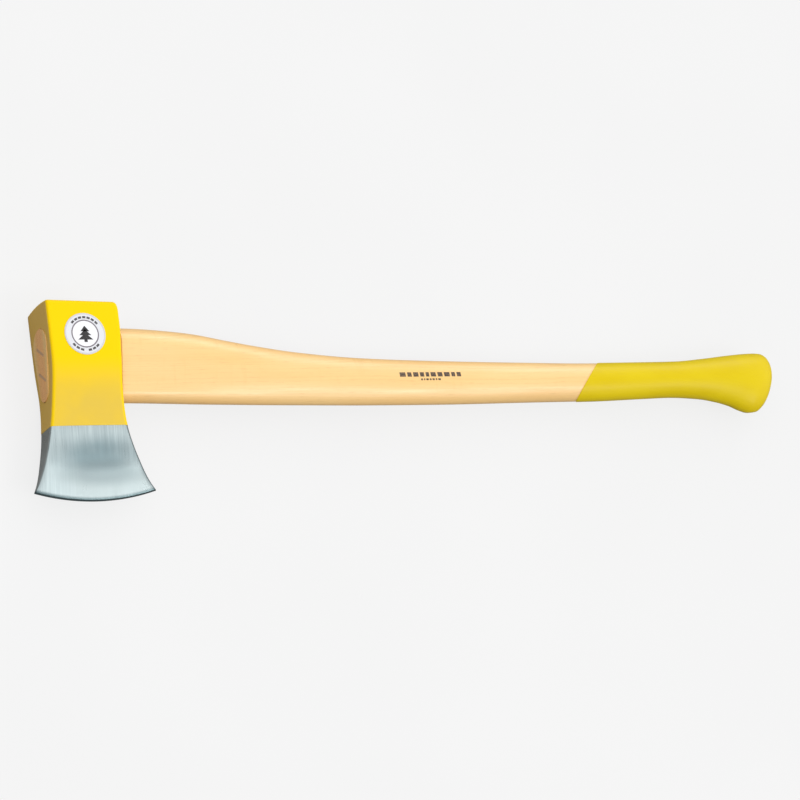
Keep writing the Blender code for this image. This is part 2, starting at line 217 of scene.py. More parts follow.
# Where the ink turns greyer outside the conifer, and darker again outside the ring, in metres.
LABEL_INK_GREY = (0.0105, 0.0115)
LABEL_INK_DARK = (0.0138, 0.0145)
INK_THICKNESS = 0.05
INK_SINK = 0.02
LABEL_RING_RADII = (13.5, 12.3)
LABEL_DASH_RADII = (16.9, 14.8)
# Each run of dashes: first angle, last angle and how many, in degrees anticlockwise from +X.
LABEL_DASH_RUNS = [(36, 144, 7), (216, 264, 3), (276, 324, 3)]
LABEL_DASH_SHARE = 0.75
LABEL_DASH_STEPS = 3
# The conifer: each layer's top, bottom and half width, then the trunk's half width, top and bottom.
PICTOGRAM_LAYERS = [(7.6, 2.2, 4.4), (4.2, -1.6, 5.9), (0.6, -5.8, 7.4)]
PICTOGRAM_TRUNK = (1.6, -5.8, -8.2)
# Rows of bars on the handle: first x, gap, top and bottom y, and the bars' widths.
PRINT_ROWS = [
    (325.0, 1.9, (-68.7, -73.3), [6.4, 4.6, 5.6, 4.4, 3.6, 5.6, 5.4, 6.2, 4.0, 4.6]),
    (347.5, 1.2, (-75.2, -77.0), [2.0, 1.4, 2.6, 1.8, 2.4, 1.6, 2.8]),
]
# A bar is this many strips side by side, so that it follows the round of the handle.
PRINT_STRIPS = 5

# Two patches of painted shade on the ground steel: the middle and the reach along x and y of each, in metres.
# The upper one stands in for the reflection of a dim part of the room, and the lower one takes down the front
# lamp's reflection low on the bit.
SHADE_PATCH_CENTRE = (0.004, -0.146, 0.0)
SHADE_PATCH_REACH = (0.056, 0.025)
LOWER_SHADE_CENTRE = (0.008, -0.161, 0.0)
LOWER_SHADE_REACH = (0.057, 0.016)
LOWER_SHADE_SHARE = 0.62
# Bands of painted shade along the cutting edge: how far from it each starts and where it is full, in
# millimetres.
EDGE_SHADE_BAND = (40.0, 12.0)
BEVEL_SHADE_BAND = (EDGE_BEVEL + 3.2, EDGE_BEVEL + 0.2)
# In metres: where along x the painted shade along the edge gains its strength, and where along y the enamel's
# painted sheen does.
EDGE_SHADE_GAIN = (-0.045, 0.0)
SHEEN_GAIN = (-0.050, -0.100)

# Wood, in metres: the hearts that the growth rings run round, how far the rings stray, and where the end
# grain turns paler.
ASH_HEART = (0.0, -0.22, -0.10)
RED_WOOD_HEART = (0.0, -0.10, -0.16)
RING_WARP = 0.022
END_PALE_REACH = (0.0075, 0.0125)

# Light. Directions point from the axe to the light, and the angles are in degrees. A lamp has a name, a
# direction, a width and a strength. The tent and its opening each have a direction, are full up to the first
# angle from it, and end at the second.
LAMPS = [("front", (0.459, -0.43, 0.777), 22.0, 0.6), ("back", (0.459, 0.775, 0.434), 24.0, 0.35)]
TENT = ((0.22, 0.17, 0.96), 50.0, 92.0)
TENT_OPENING = ((0.459, 0.18, 0.870), 6.0, 15.0)
OPENING_DEPTH = 0.70
TENT_GLOW = 0.93
ROOM_GLOW = 0.20
BACKDROP_GLOW = 0.9
FLOOR_HALF_SIZE = 6000.0
FLOOR_PALE = 0.10
FLOOR_GREY = 0.30
FLOOR_GLOW = 0.794

# Camera, in metres.
CAMERA_PLACE = (-1.0111389, -0.8385001, 2.4821973)
CAMERA_RIGHT = (0.88829582, -0.14384412, 0.43616442)
CAMERA_UP = (0.0108875, 0.95601551, 0.29311397)
CAMERA_FORWARD = (0.45914267, 0.25562317, -0.85079069)
CAMERA_LENS = 135.0
CAMERA_SENSOR = 36.0


# Small tools ------------------------------------------------------------------------------------------


def smooth_rows(knots, values, samples):
    """Values on a smooth curve through the knots that never swings past them."""
    knots = np.array(knots, float)
    values = np.array(values, float)
    steps = np.diff(knots)[:, None]
    slopes = np.diff(values, axis=0) / steps
    tangents = np.vstack([slopes[:1], slopes])
    rising = slopes[:-1] * slopes[1:] > 0
    before = np.where(rising, slopes[:-1], 1.0)
    after = np.where(rising, slopes[1:], 1.0)
    share = (steps[:-1] + 2 * steps[1:]) / (3 * (steps[:-1] + steps[1:]))
    tangents[1:-1] = np.where(rising, 1 / (share / before + (1 - share) / after), 0.0)
    samples = np.array(samples, float)
    span = np.clip(np.searchsorted(knots, samples) - 1, 0, len(knots) - 2)
    width = (knots[span + 1] - knots[span])[:, None]
    t = (samples - knots[span])[:, None] / width
    return (
        (2 * t**3 - 3 * t**2 + 1) * values[span]
        + (t**3 - 2 * t**2 + t) * width * tangents[span]
        + (3 * t**2 - 2 * t**3) * values[span + 1]
        + (t**3 - t**2) * width * tangents[span + 1]
    )


def mesh_object(name, points, faces):
    """A piece in metres from points in millimetres, with its faces turned outwards."""
    mesh = bpy.data.meshes.new(name)
    mesh.from_pydata([Vector(p) * MM for p in points], [], faces)
    piece = bpy.data.objects.new(name, mesh)
    bpy.context.scene.collection.objects.link(piece)
    turn_faces_out(piece)
    return piece


def turn_faces_out(piece):
    shape = bmesh.new()
    shape.from_mesh(piece.data)
    bmesh.ops.recalc_face_normals(shape, faces=shape.faces)
    shape.to_mesh(piece.data)
    shape.free()


def mirrored_loft(name, rows):
    """A closed piece from rows of points over the plane z = 0, mirrored under it, with both ends closed."""
    count = len(rows)
    width = len(rows[0])
    points = [tuple(point) for row in rows for point in row]
    upper_total = len(points)
    points += [(x, y, -z) for row in rows for x, y, z in row[1:-1]]

    def upper(i, j):
        return i * width + j

    def lower(i, j):
        return upper(i, j) if j in (0, width - 1) else upper_total + i * (width - 2) + j - 1

    faces = []
    for i in range(count - 1):
        for j in range(width - 1):
            faces.append([upper(i, j), upper(i, j + 1), upper(i + 1, j + 1), upper(i + 1, j)])
            faces.append([lower(i, j), lower(i + 1, j), lower(i + 1, j + 1), lower(i, j + 1)])
    for i in (0, count - 1):
        for j in range(width - 1):
            corners = [upper(i, j), upper(i, j + 1), lower(i, j + 1), lower(i, j)]
            faces.append(list(dict.fromkeys(corners)))
    return mesh_object(name, points, faces)


def carve(piece, operation, *cutters):
    """Applies one exact boolean after another to the piece."""
    for cutter in cutters:
        cut = piece.modifiers.new("cut", "BOOLEAN")
        cut.operation = operation
        cut.object = cutter
        cut.solver = "EXACT"
    settled = piece.evaluated_get(bpy.context.evaluated_depsgraph_get())
    mesh = bpy.data.meshes.new_from_object(settled)
    piece.modifiers.clear()
    piece.data = mesh
    return piece


def discard(*cutters):
    for cutter in cutters:
        bpy.data.objects.remove(cutter, do_unlink=True)


def finish_piece(piece, material, slot, sharp_degrees, *nodes):
    """Gives a piece its material and shading, and tells the frame what it is."""
    piece.data.materials.clear()
    piece.data.materials.append(material)
    piece.data.shade_smooth()
    piece.data.set_sharp_from_angle(angle=math.radians(sharp_degrees))
    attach(piece, BODY)
    if nodes:
        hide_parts(*nodes)
    return piece


# Head -------------------------------------------------------------------------------------------------


def edge_circle():
    """The x of the middle of the cutting edge, half its chord, and its radius."""
    half_chord = (HEEL["reach"] + TOE["reach"]) / 2
    radius = (half_chord**2 + EDGE_SAGITTA**2) / (2 * EDGE_SAGITTA)
    return (HEEL["reach"] - TOE["reach"]) / 2, half_chord, radius


def edge_arc(x):
    """How far the cutting edge runs past the depth of its tips, at a place across the edge."""
    middle, half_chord, radius = edge_circle()
    reach = np.minimum(np.abs(x - middle), half_chord)
    return np.sqrt(radius**2 - reach**2) - (radius - EDGE_SAGITTA)


def arc_share(depth):
    """How much of the edge's curve a row takes: none above ARC_START, all of it from ARC_FULL on."""
    share = (depth - ARC_START) / (ARC_FULL - ARC_START)
    return min(max(share, 0.0), 1.0) ** ARC_POWER


def head_side(end, depth, skin):
    """How far one end face of the head stands from the middle at a depth."""
    flare = max(0.0, (depth - end["start"]) / (TIP_DEPTH - end["start"])) ** end["power"]
    narrow = HEAD_HALF_WIDTH + skin
    side = narrow + (end["reach"] - narrow) * flare
    if end is HEEL:
        knots = [knot for knot, _ in HEEL_WAIST]
        side -= smooth_rows(knots, [[waist] for _, waist in HEEL_WAIST], [depth])[0][0]
        side -= HEEL_CORNER * max(0.0, 1 - depth / CORNER_DEPTH) ** 2
    return side


def cheek_height(x, depth, skin):
    """Half the head's thickness at places x across it, with the skin of a coat or of the bare steel."""
    x = np.atleast_1d(np.array(x, float))
    from_edge = np.maximum(TIP_DEPTH - depth + (1 - arc_share(depth)) * edge_arc(x), 0.0)
    knots = [distance for distance, _ in CHEEK_PROFILE]
    heights = [[height] for _, height in CHEEK_PROFILE]
    fade = np.minimum(from_edge / SKIN_FADE, 1.0)
    down = np.clip((depth - CROWN_START) / (TIP_DEPTH - CROWN_START), 0.0, 1.0)
    crown = CROWN * (x / TOE["reach"]) ** 2 * down * fade
    return smooth_rows(knots, heights, from_edge)[:, 0] + skin * fade - crown


def head_corner(end, depth, skin, inset):
    """From the middle plane up one end face and round the edge to the cheek."""
    side = head_side(end, depth, skin)
    height = cheek_height(end["sign"] * side, depth, skin)[0]
    fillet = max(min(SIDE_FILLET, height / 2) + skin - inset, LEAST_FILLET)
    flat = side - inset - fillet
    top = height - inset
    outside = end["sign"] * (flat + fillet)
    points = [(outside, (top - fillet) * step / SIDE_STEPS) for step in range(SIDE_STEPS)]
    for step in range(CORNER_STEPS + 1):
        turn = step / CORNER_STEPS * math.pi / 2
        across = end["sign"] * (flat + fillet * math.cos(turn))
        points.append((across, top - fillet * (1 - math.sin(turn))))
    return points


def head_row(depth, skin, inset):
    """The upper half of one cross-section of the head, from the heel over the cheek to the toe."""
    heel = head_corner(HEEL, depth, skin, inset)
    toe = head_corner(TOE, depth, skin, inset)
    across = np.linspace(heel[-1][0], toe[-1][0], CHEEK_COLUMNS + 1)[1:-1]
    cheek = list(zip(across, cheek_height(across, depth, skin) - inset))
    share = arc_share(depth)
    lean = POLL_LEAN * max(0.0, 1 - depth / LEAN_END) ** 2
    dome = POLL_DOME * max(0.0, 1 - depth / DOME_END) ** 2
    row = []
    for x, z in heel + cheek + toe[::-1]:
        swell = dome * (1 - (z / POLL_HALF_THICKNESS) ** 2)
        row.append((x, -depth - share * edge_arc(x) - lean * (x - LEAN_PIVOT) + swell, z))
    return row


def head_rows(skin, depths):
    """The poll's dome and rounded rim, then rows down to the last depth."""
    fillet = POLL_FILLET + skin
    rows = []
    for step in range(DOME_STEPS):
        share = step / DOME_STEPS
        inset = DOME_INSET + (fillet - DOME_INSET) * share
        rows.append(head_row(PAINT_SKIN - skin, skin, inset))
    for step in range(CORNER_STEPS + 1):
        turn = step / CORNER_STEPS * math.pi / 2
        depth = PAINT_SKIN - skin + fillet * (1 - math.cos(turn))
        rows.append(head_row(depth, skin, fillet * (1 - math.sin(turn))))
    return rows + [head_row(depth, skin, 0.0) for depth in depths]


def body_depths():
    """The rows from under the poll's rim to the paint line."""
    return list(np.linspace(BODY_START, PAINT_LINE, BODY_ROWS))


def steel_head(eye):
    bit = list(np.linspace(PAINT_LINE, BIT_END, BIT_ROWS))[1:]
    depths = body_depths() + bit + [TIP_DEPTH - distance for distance in BEVEL_DISTANCES]
    head = mirrored_loft("head_steel", head_rows(STEEL_SKIN, depths))
    carve(head, "DIFFERENCE", eye)
    return finish_piece(head, brushed_steel(), "head_steel", STEEL_SHARP, "axe_head")


def head_coat(eye):
    """The paint as a thin bag over the steel, open at the paint line and round the eye."""
    outer = head_rows(PAINT_SKIN, body_depths())
    inner = head_rows(PAINT_INNER_SKIN, body_depths())
    coat = mirrored_loft("head_coat", outer + inner[::-1])
    carve(coat, "DIFFERENCE", eye)
    return finish_piece(coat, head_enamel(), "head_paint", PLAIN_SHARP, "head_paint")


# Handle -----------------------------------------------------------------------------------------------


def arc_points(centre, radius, turns):
    """Points of an arc round a place on the eye's middle line, as (depth, half thickness) pairs."""
    return np.stack([centre - radius * np.cos(turns), radius * np.sin(turns)], 1)


def egg_outline():
    """One side of the eye's egg, as (share of the depth, share of the half thickness) pairs."""
    spacing = EYE_BIT_DEPTH - EYE_POLL_DEPTH
    change = math.acos(-(EYE_POLL_RADIUS - EYE_BIT_RADIUS) / spacing)
    poll_steps, flat_steps, bit_steps = EGG_STEPS
    poll = arc_points(EYE_POLL_DEPTH, EYE_POLL_RADIUS, np.linspace(0, change, poll_steps + 1))
    bit = arc_points(EYE_BIT_DEPTH, EYE_BIT_RADIUS, np.linspace(change, math.pi, bit_steps + 1))
    shares = np.linspace(0, 1, flat_steps + 1)[1:-1, None]
    points = np.vstack([poll, poll[-1] + (bit[0] - poll[-1]) * shares, bit])
    top = EYE_POLL_DEPTH - EYE_POLL_RADIUS
    depth = EYE_BIT_DEPTH + EYE_BIT_RADIUS - top
    return np.stack([(points[:, 0] - top) / depth, points[:, 1] / EYE_POLL_RADIUS], 1)


def eye_station(top_x, bottom_x):
    """A station of the tongue, as wide as the eye, which widens towards the head's outer side."""
    spread = EYE_TAPER * max(0.0, top_x / TONGUE_END_TOP)
    top = -(EYE_POLL_DEPTH - EYE_POLL_RADIUS) + spread
    bottom = -(EYE_BIT_DEPTH + EYE_BIT_RADIUS) - spread
    return (top_x, top, bottom_x, bottom, 2 * (EYE_POLL_RADIUS + spread))


def tongue_stations(inner_top, inner_bottom):
    """From the tongue's end, sawn flush with the head's slanting side, to a place inside the head."""
    end = eye_station(TONGUE_END_TOP, TONGUE_END_BOTTOM)
    return np.array([end, eye_station(0.0, 0.0), eye_station(inner_top, inner_bottom)])


def oval_share(x):
    """0 where the handle's section is the eye's egg, 1 where it is an oval."""
    t = min(max((x - OVAL_START) / (OVAL_END - OVAL_START), 0.0), 1.0)
    return t * t * (3 - 2 * t)


def handle_rows(first_x):
    """Stations on a smooth curve through those of the handle from first_x on."""
    stations = np.array([s for s in HANDLE_STATIONS if s[0] >= first_x])
    knots = (stations[:, 0] + stations[:, 2]) / 2
    samples = []
    for start, end in zip(knots[:-1], knots[1:]):
        samples += [start + (end - start) * step / SPAN_STEPS for step in range(SPAN_STEPS)]
    samples.append(knots[-1])
    return smooth_rows(knots, stations, samples)


def grow(stations, offset):
    """The stations moved outwards along the normals of the handle's outline."""
    grown = stations.copy()
    for side, turn in ((0, 1.0), (2, -1.0)):
        along = np.gradient(stations[:, side : side + 2], axis=0)
        along /= np.linalg.norm(along, axis=1)[:, None]
        grown[:, side] -= turn * offset * along[:, 1]
        grown[:, side + 1] += turn * offset * along[:, 0]
    grown[:, 4] += 2 * offset
    return grown


def handle_sections(stations):
    """The upper half of the handle's section at each station."""
    egg = egg_outline()
    down = egg[:, 0]
    oval = np.sqrt(np.maximum(0.0, 1 - (2 * down - 1) ** 2))
    rows = []
    for top_x, top_y, bottom_x, bottom_y, thickness in stations:
        height = egg[:, 1] + (oval - egg[:, 1]) * oval_share(top_x)
        height[0] = 0.0
        height[-1] = 0.0
        x = top_x + (bottom_x - top_x) * down
        y = top_y + (bottom_y - top_y) * down
        rows.append(np.stack([x, y, height * thickness / 2], 1))
    return rows


def handle_loft(name, stations):
    return mirrored_loft(name, handle_sections(stations))


def eye_cutter():
    """The hole through the head, a little larger than the tongue all round."""
    stations = np.array([eye_station(x, x) for x in (EYE_OUTER, TONGUE_END_TOP, 0.0, EYE_INNER)])
    return handle_loft("eye_cutter", grow(stations, EYE_GAP))


def wooden_handle(kerf, slots):
    stations = np.vstack([tongue_stations(*TONGUE_SHOULDER), handle_rows(0.0)])
    handle = handle_loft("handle_wood", stations)
    carve(handle, "DIFFERENCE", kerf, *slots)
    return finish_piece(handle, ash_wood(), "handle_wood", ROUND_SHARP, "handle")


def dip_box():
    """A block over everything on the head's side of the dip line."""
    half = DIP_CUTTER_HALF
    corners = [(x, y, z) for x in (-2 * half, 0) for y in (-half, half) for z in (-half, half)]
    box = mesh_object("dip_box", corners, BLOCK_FACES)
    run = DIP_TOP[0] - DIP_BOTTOM[0]
    rise = DIP_TOP[1] - DIP_BOTTOM[1]
    middle = Vector((DIP_TOP[0] + DIP_BOTTOM[0], DIP_TOP[1] + DIP_BOTTOM[1], 0)) / 2
    turn = Matrix.Rotation(-math.atan2(run, rise), 4, "Z") @ Matrix.Rotation(-DIP_LEAN, 4, "Y")
    box.data.transform(Matrix.Translation(middle * MM) @ turn)
    return box


def grip_coat():
    stations = handle_rows(GRIP_FIRST_X)
    coat = handle_loft("grip_coat", grow(stations, GRIP_SKIN))
    core = handle_loft("grip_core", grow(stations, GRIP_INNER_SKIN))
    box = dip_box()
    carve(coat, "DIFFERENCE", core, box)
    discard(core, box)
    return finish_piece(coat, dip_enamel(), "grip_dip", ROUND_SHARP, "grip_paint")


# Wedges -----------------------------------------------------------------------------------------------


def prism(name, outline):
    """A closed prism right across the head: an outline of (x, z) points drawn out along y."""
    count = len(outline)
    points = [(x, 0, z) for x, z in outline] + [(x, -PAINT_LINE, z) for x, z in outline]
    faces = [list(range(count)), list(range(count, 2 * count))]
    faces += [[i, (i + 1) % count, count + (i + 1) % count, count + i] for i in range(count)]
    return mesh_object(name, points, faces)


def wedge_outline(end_x, extra):
    """The wooden wedge's outline, or the kerf's, which is larger by an extra and runs on to end_x."""
    slope = (WEDGE_TOP_THICKNESS - WEDGE_TIP_THICKNESS) / (WEDGE_END - TONGUE_END_TOP)
    start = (WEDGE_TOP_THICKNESS + slope * (TONGUE_END_TOP - EYE_OUTER)) / 2 + extra
    tip = WEDGE_TIP_THICKNESS / 2 + extra
    upper = [(EYE_OUTER, start), (WEDGE_END, tip)]
    if end_x > WEDGE_END:
        upper.append((end_x, tip))
    return upper + [(x, -z) for x, z in reversed(upper)]


def wooden_wedge(slots):
    wedge = prism("wedge_wood", wedge_outline(WEDGE_END, 0.0))
    tongue = handle_loft("tongue_shape", tongue_stations(KERF_END, KERF_END))
    carve(wedge, "INTERSECT", tongue)
    carve(wedge, "DIFFERENCE", *slots)
    discard(tongue)
    return finish_piece(wedge, red_wood(), "wedge_wood", PLAIN_SHARP, "wooden_wedge")


def steel_wedge(name, depth, extra):
    """A small steel wedge driven across the wooden one, or its slot, which is larger by an extra."""
    eye_top = EYE_POLL_DEPTH - EYE_POLL_RADIUS
    eye_bottom = EYE_BIT_DEPTH + EYE_BIT_RADIUS
    down = (depth - eye_top) / (eye_bottom - eye_top)
    flush = TONGUE_END_TOP + (TONGUE_END_BOTTOM - TONGUE_END_TOP) * down
    mouth = SLOT_MOUTH if extra else 0.0
    ends = (
        (flush - mouth, STEEL_WEDGE_THICKNESS / 2 + extra),
        (flush + STEEL_WEDGE_REACH + extra, STEEL_WEDGE_TIP / 2 + extra),
    )
    half = STEEL_WEDGE_LENGTH / 2 + extra
    corners = [(x, y * side, z) for x, y in ends for side in (-1, 1) for z in (-half, half)]
    wedge = mesh_object(name, corners, BLOCK_FACES)
    place = Matrix.Translation((0, -depth * MM, 0)) @ Matrix.Rotation(STEEL_WEDGE_TURN, 4, "X")
    wedge.data.transform(place)
    return wedge


# Label and prints -------------------------------------------------------------------------------------


def on_cheek(x, y, lift):
    """A point over the painted cheek, which is flat to a few tenths of a millimetre there."""
    return (x, y, cheek_height(x, -y, PAINT_SKIN)[0] + lift)


def slab(outline_points, place, thickness):
    """Points and faces of a thin closed slab: an outline laid on a surface by place(x, y, lift)."""
    count = len(outline_points)
    points = [place(x, y, thickness) for x, y in outline_points]
    points += [place(x, y, -INK_SINK) for x, y in outline_points]
    faces = [list(range(count)), list(range(2 * count - 1, count - 1, -1))]
    faces += [[i, count + i, count + (i + 1) % count, (i + 1) % count] for i in range(count)]
    return points, faces


def joined(name, parts):
    """One piece from several lots of points and faces."""
    points = []
    faces = []
    for part_points, part_faces in parts:
        faces += [[index + len(points) for index in face] for face in part_faces]
        points += part_points
    return mesh_object(name, points, faces)


def polar(radius, turn):
    """A place on the label by its distance from the middle and its angle."""
    return (LABEL_CENTRE[0] + radius * math.cos(turn), LABEL_CENTRE[1] + radius * math.sin(turn))


def over_label(x, y, lift):
    """A point over the label's own surface."""
    return on_cheek(x, y, LABEL_LIFT + lift)


def ring_band(outer, inner, start, end, steps):
    """The outline of a piece of a ring on the label."""
    turns = np.linspace(start, end, steps + 1)
    return [polar(outer, t) for t in turns] + [polar(inner, t) for t in turns[::-1]]


def closed_ring(outer, inner):
    """Points and faces of a whole ring, closed on itself."""
    points = []
    for step in range(LABEL_SIDES):
        turn = 2 * math.pi * step / LABEL_SIDES
        lifts = ((outer, -INK_SINK), (outer, INK_THICKNESS), (inner, INK_THICKNESS), (inner, -INK_SINK))
        points += [over_label(*polar(radius, turn), lift) for radius, lift in lifts]
    faces = []
    for step in range(LABEL_SIDES):
        a = 4 * step
        b = 4 * ((step + 1) % LABEL_SIDES)
        faces += [[a + k, b + k, b + (k + 1) % 4, a + (k + 1) % 4] for k in range(4)]
    return points, faces


def about_label(corners):
    """Corners given from the label's middle, moved to the label."""
    return [(LABEL_CENTRE[0] + x, LABEL_CENTRE[1] + y) for x, y in corners]


def label_disc():
    """The sticker as a shallow dish of rings that follows the cheek, with a rounded rim."""
    radii = [(LABEL_RADIUS, -LABEL_SINK), (LABEL_RADIUS, LABEL_LIFT - LABEL_ROUNDING)]
    radii += [(LABEL_RADIUS - LABEL_ROUNDING, LABEL_LIFT)]
    radii += [(radius, LABEL_LIFT) for radius in LABEL_INNER_RADII]
    points = []
    faces = []
    for radius, lift in radii:
        for step in range(LABEL_SIDES):
            x, y = polar(radius, 2 * math.pi * step / LABEL_SIDES)
            points.append(on_cheek(x, y, lift))
    for ring in range(len(radii) - 1):
        for step in range(LABEL_SIDES):
            after = (step + 1) % LABEL_SIDES
            a = ring * LABEL_SIDES
            b = a + LABEL_SIDES
            faces.append([a + step, a + after, b + after, b + step])
    faces.append(list(range(LABEL_SIDES)))
    faces.append(list(range(len(points) - LABEL_SIDES, len(points))))
    label = mesh_object("label_disc", points, faces)
    return finish_piece(label, label_paper(), "label", PLAIN_SHARP, "head_label")


def label_print():
    """A thin ring, runs of plain blocks outside it, and a small conifer in the middle."""
    parts = [closed_ring(*LABEL_RING_RADII)]
    for first, last, count in LABEL_DASH_RUNS:
        step = (last - first) / count
        for i in range(count):
            start = math.radians(first + i * step)
            end = math.radians(first + (i + LABEL_DASH_SHARE) * step)
            outline = ring_band(*LABEL_DASH_RADII, start, end, LABEL_DASH_STEPS)
            parts.append(slab(outline, over_label, INK_THICKNESS))
    for top, bottom, half in PICTOGRAM_LAYERS:
        corners = [(0, top), (-half, bottom), (half, bottom)]
        parts.append(slab(about_label(corners), over_label, INK_THICKNESS))
    half, top, bottom = PICTOGRAM_TRUNK
    corners = [(-half, top), (-half, bottom), (half, bottom), (half, top)]
    parts.append(slab(about_label(corners), over_label, INK_THICKNESS))
    return finish_piece(joined("label_print", parts), label_ink(), "label", PLAIN_SHARP)


def on_handle(x, y, lift):
    """A point over the upper side of the handle, where its section is a plain oval."""
    stations = np.array(HANDLE_STATIONS)
    _, top_y, _, bottom_y, thickness = smooth_rows((stations[:, 0] + stations[:, 2]) / 2, stations, [x])[0]
    down = (y - top_y) / (bottom_y - top_y)
    height = math.sqrt(max(0.0, 1 - (2 * down - 1) ** 2)) * thickness / 2
    return (x, y, height + lift)


def bar(start, width, top, bottom):
    """One printed bar on the handle, as thin slabs side by side."""
    end = start + width
    rows = np.linspace(top, bottom, PRINT_STRIPS + 1)
    outlines = [[(start, a), (start, b), (end, b), (end, a)] for a, b in zip(rows, rows[1:])]
    return [slab(outline, on_handle, INK_THICKNESS) for outline in outlines]


def handle_print():
    """Two rows of plain bars where the maker's print would be."""
    parts = []
    for start, gap, (top, bottom), widths in PRINT_ROWS:
        for width in widths:
            parts += bar(start, width, top, bottom)
            start += width + gap
    return finish_piece(joined("handle_print", parts), handle_ink(), "handle_wood", PLAIN_SHARP)


# Materials --------------------------------------------------------------------------------------------


def new_material(name):
    """A material, its shader, its node tree, and the place in the frame, which its pattern goes by."""
    material = bpy.data.materials.new(name)
    material.use_nodes = True
    tree = material.node_tree
    place = add_node(tree, "ShaderNodeTexCoord").outputs["Object"]
    return material, tree.nodes["Principled BSDF"], tree, place


def add_node(tree, kind, inputs=None, **settings):
    """A node with its settings, and its inputs linked to sockets or set to values."""
    made = tree.nodes.new(kind)
    for name, value in settings.items():
        setattr(made, name, value)
    for name, value in (inputs or {}).items():
        if isinstance(value, bpy.types.NodeSocket):
            tree.links.new(value, made.inputs[name])
        else:
            made.inputs[name].default_value = value
    return made


def vector_maths(tree, operation, first, second=(0.0, 0.0, 0.0), output="Vector"):
    """A sum on vectors. A length or a dot product comes out of the output "Value"."""
    return add_node(tree, "ShaderNodeVectorMath", {0: first, 1: second}, operation=operation).outputs[output]


def scaled(tree, vector, scale):
    return vector_maths(tree, "MULTIPLY", vector, scale)


def distance_from(tree, place, centre, scale=(1.0, 1.0, 0.0)):
    """How far a point is from a centre once x, y and z are scaled. By default z is left out."""
    offset = vector_maths(tree, "SUBTRACT", place, centre)
    return vector_maths(tree, "LENGTH", scaled(tree, offset, scale), output="Value")


def noise(tree, vector, scale, detail=2.0, roughness=0.5):
    """Soft noise, most of which lies between 0.3 and 0.7."""
    inputs = {"Vector": vector, "Scale": scale, "Detail": detail, "Roughness": roughness}
    return add_node(tree, "ShaderNodeTexNoise", inputs).outputs["Fac"]


def fit(tree, value, low, high, out_low=0.0, out_high=1.0, smooth=True):
    """A value taken from one range to another, and held at its ends."""
    inputs = {"Value": value, "From Min": low, "From Max": high, "To Min": out_low, "To Max": out_high}
    kind = "SMOOTHSTEP" if smooth else "LINEAR"
    return add_node(tree, "ShaderNodeMapRange", inputs, interpolation_type=kind).outputs["Result"]


def maths(tree, operation, first, second=0.0):
    return add_node(tree, "ShaderNodeMath", {0: first, 1: second}, operation=operation).outputs[0]


def mixed(tree, share, first, second):
    """Two colours mixed by a share. The mix node's colour sockets are its inputs 6 and 7 and its output 2."""
    inputs = {0: share, 6: first, 7: second}
    node = add_node(tree, "ShaderNodeMix", data_type="RGBA")
    for index, value in inputs.items():
        if isinstance(value, bpy.types.NodeSocket):
            tree.links.new(value, node.inputs[index])
        else:
            node.inputs[index].default_value = value if index == 0 else (*value, 1.0)
    return node.outputs[2]


def mixed_values(tree, share, first, second):
    """Two numbers mixed by a share."""
    return add_node(tree, "ShaderNodeMix", {0: share, 2: first, 3: second}, data_type="FLOAT").outputs[0]


def bumped(tree, shader, height, metres):
    """Bump from a height between 0 and 1, for a relief of so many metres."""
    node = add_node(tree, "ShaderNodeBump", {"Height": height, "Distance": metres})
    tree.links.new(node.outputs["Normal"], shader.inputs["Normal"])


def split(tree, vector):
    """The x, y and z of a vector."""
    return add_node(tree, "ShaderNodeSeparateXYZ", {0: vector}).outputs


def normal_x(tree):
    """How far the surface faces along the handle: 1 towards the knob, -1 the other way."""
    return split(tree, add_node(tree, "ShaderNodeNewGeometry").outputs["Normal"])[0]


def set_shader(tree, shader, **values):
    """Sets or links the shader's sockets, by names with spaces written as underscores."""
    for name, value in values.items():
        socket = shader.inputs[name.replace("_", " ")]
        if isinstance(value, bpy.types.NodeSocket):
            tree.links.new(value, socket)
        else:
            socket.default_value = value


def spot(tree, place, centre, reach):
    """1 at a place in the frame, fading to 0 over a reach each way, in metres."""
    away = distance_from(tree, place, centre, (1 / reach[0], 1 / reach[1], 0.0))
    return fit(tree, away, 1.0, 0.3)


def near_edge(tree, place, start, full):
    """0 further than start from the cutting edge, 1 nearer than full. Both are in millimetres."""
    middle, _, radius = edge_circle()
    centre = (middle * MM, (radius - TIP_DEPTH - EDGE_SAGITTA) * MM, 0.0)
    away = distance_from(tree, place, centre)
    return fit(tree, away, (radius - start) * MM, (radius - full) * MM)


def ground_steel(tree, place, lines, clouds):
    """The colour of the ground bit: grinding lines, two patches of painted shade and a band of painted shade
    along the edge.
    """
    coarse = noise(tree, scaled(tree, place, (1.0, 0.05, 0.1)), 160, 2.0)
    colour = mixed(tree, fit(tree, lines, 0.3, 0.7), (0.43, 0.51, 0.52), (0.54, 0.625, 0.635))
    colour = mixed(tree, fit(tree, coarse, 0.35, 0.65, 0.0, 0.35), colour, (0.41, 0.485, 0.505))
    # Painted shade: a darker patch that stands in for the reflection of a dim part of the room.
    shade_patch = spot(tree, place, SHADE_PATCH_CENTRE, SHADE_PATCH_REACH)
    shade_patch = maths(tree, "MULTIPLY", shade_patch, fit(tree, clouds, 0.3, 0.7, 0.55, 1.0))
    colour = mixed(tree, shade_patch, colour, (0.265, 0.355, 0.38))
    # Painted shade along the edge, stronger towards the heel, which takes down the front lamp's reflection
    # there.
    edge_shade = near_edge(tree, place, *EDGE_SHADE_BAND)
    gain = fit(tree, split(tree, place)[0], *EDGE_SHADE_GAIN, 0.25, 1.0)
    edge_shade = maths(tree, "MULTIPLY", edge_shade, gain)
    colour = mixed(tree, edge_shade, colour, (0.355, 0.41, 0.415))
    # Painted shade low on the bit, which takes down the front lamp's reflection there.
    lower = spot(tree, place, LOWER_SHADE_CENTRE, LOWER_SHADE_REACH)
    lower = maths(tree, "MULTIPLY", lower, LOWER_SHADE_SHARE)
    return mixed(tree, lower, colour, (0.20, 0.25, 0.26))


